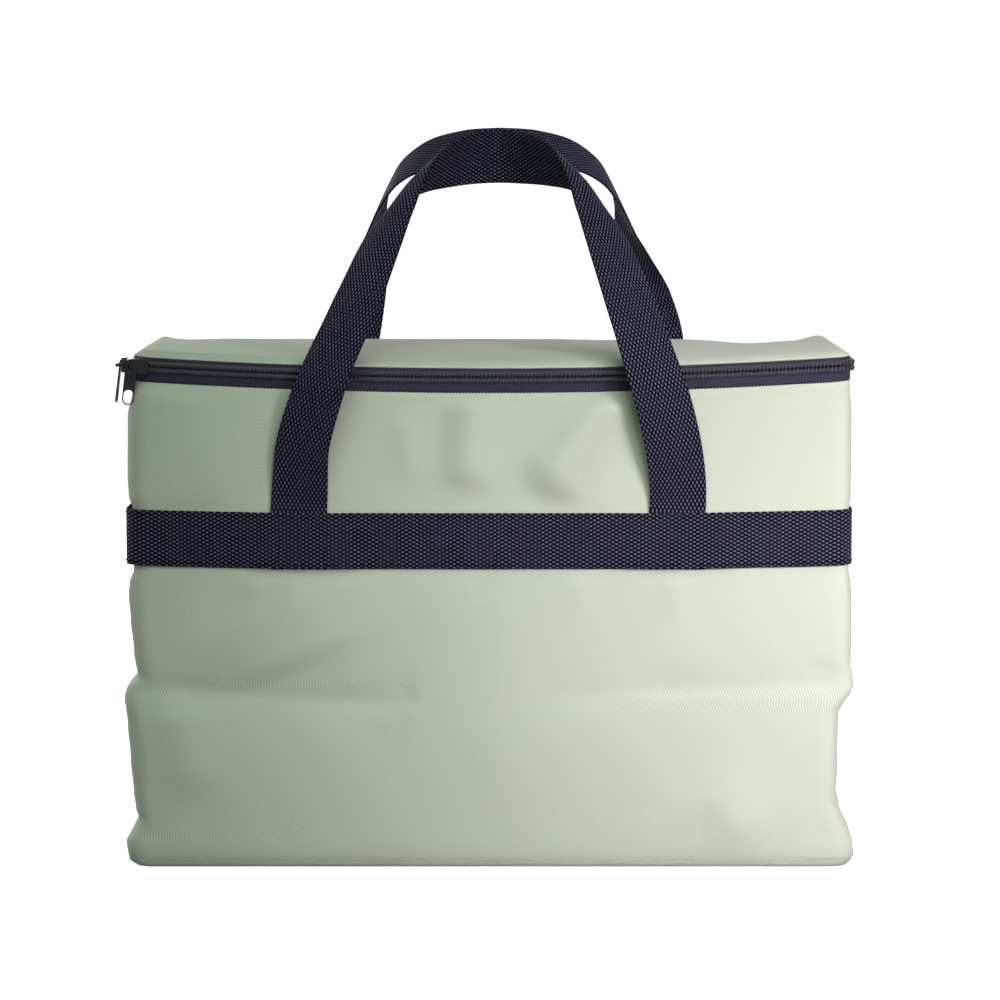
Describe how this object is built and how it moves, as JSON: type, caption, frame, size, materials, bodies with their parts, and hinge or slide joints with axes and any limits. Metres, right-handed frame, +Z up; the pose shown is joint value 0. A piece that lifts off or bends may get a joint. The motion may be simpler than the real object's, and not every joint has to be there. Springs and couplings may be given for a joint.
{
  "type": "cooler bag",
  "caption": "Soft box-shaped insulated bag with a zipped hinged lid, a webbing band round its waist and two webbing carry handles.",
  "frame": {"origin": "middle of the base, on the floor the bag stands on", "axes": "+X to the viewer's right when facing the front, +Y from the front to the back where the lid is hinged, +Z up"},
  "size_m": [0.3914, 0.2316, 0.393],
  "materials": {
    "shell_fabric": "sage green twill, matt with a faint sheen",
    "webbing": "near-black navy woven webbing",
    "zipper_tape": "near-black navy woven tape",
    "zipper_coil": "black nylon coil, satin gloss",
    "zipper_metal": "black painted zinc, gloss",
    "foam": "white closed-cell foam sheet",
    "liner": "silver-grey welded film",
    "binding": "grey woven binding tape"
  },
  "bodies": {
    "bag": {"front_panel": "shell_fabric", "back_panel": "shell_fabric", "left_side_panel": "shell_fabric", "right_side_panel": "shell_fabric", "bottom_panel": "shell_fabric", "hinge_strip": "shell_fabric", "foam_front": "foam", "foam_back": "foam", "foam_left": "foam", "foam_right": "foam", "foam_bottom": "foam", "liner": "liner", "mouth_binding": "binding", "zipper_tape_body": "zipper_tape", "zipper_coil_body": "zipper_coil", "waist_band": "webbing", "front_handle_tail_left": "webbing", "front_handle_tail_right": "webbing", "back_handle_tail_left": "webbing", "back_handle_tail_right": "webbing"},
    "lid": {"lid_panel": "shell_fabric", "foam_lid": "foam", "liner_lid": "liner", "zipper_tape_lid": "zipper_tape", "zipper_coil_lid": "zipper_coil"},
    "front_handle": {"handle_front": "webbing"},
    "back_handle": {"handle_back": "webbing"},
    "front_slider": {"slider_front": "zipper_metal"},
    "front_pull_tab": {"pull_tab_front": "zipper_metal"},
    "side_slider": {"slider_side": "zipper_metal"},
    "side_pull_tab": {"pull_tab_side": "zipper_metal"}
  },
  "joints": [
    {"name": "lid_hinge", "type": "hinge", "parent": "bag", "child": "lid", "pos_m": [0, 0.0955, 0.268], "axis": [-1, 0, 0], "range_deg": [0, 100]},
    {"name": "front_handle_swing", "type": "hinge", "parent": "bag", "child": "front_handle", "pos_m": [0, -0.0995, 0.19], "axis": [1, 0, 0], "range_deg": [0, 150]},
    {"name": "back_handle_swing", "type": "hinge", "parent": "bag", "child": "back_handle", "pos_m": [0, 0.0995, 0.19], "axis": [-1, 0, 0], "range_deg": [0, 150]},
    {"name": "front_slider_slide", "type": "slide", "parent": "bag", "child": "front_slider", "axis": [1, 0, 0], "range_m": [0, 0.36]},
    {"name": "front_tab_swing", "type": "hinge", "parent": "front_slider", "child": "front_pull_tab", "pos_m": [-0.1891, -0.1011, 0.2677], "axis": [0, 1, 0], "range_deg": [-50, 75]},
    {"name": "side_slider_slide", "type": "slide", "parent": "bag", "child": "side_slider", "axis": [0, 1, 0], "range_m": [0, 0.165]},
    {"name": "side_tab_swing", "type": "hinge", "parent": "side_slider", "child": "side_pull_tab", "pos_m": [-0.1961, -0.0849, 0.268], "axis": [-1, 0, 0], "range_deg": [-75, 45]}
  ],
  "couplings": [
    {"joint": "front_handle_swing", "follows": "lid_hinge", "ratio": 1.5},
    {"joint": "back_handle_swing", "follows": "lid_hinge", "ratio": 1.5}
  ]
}
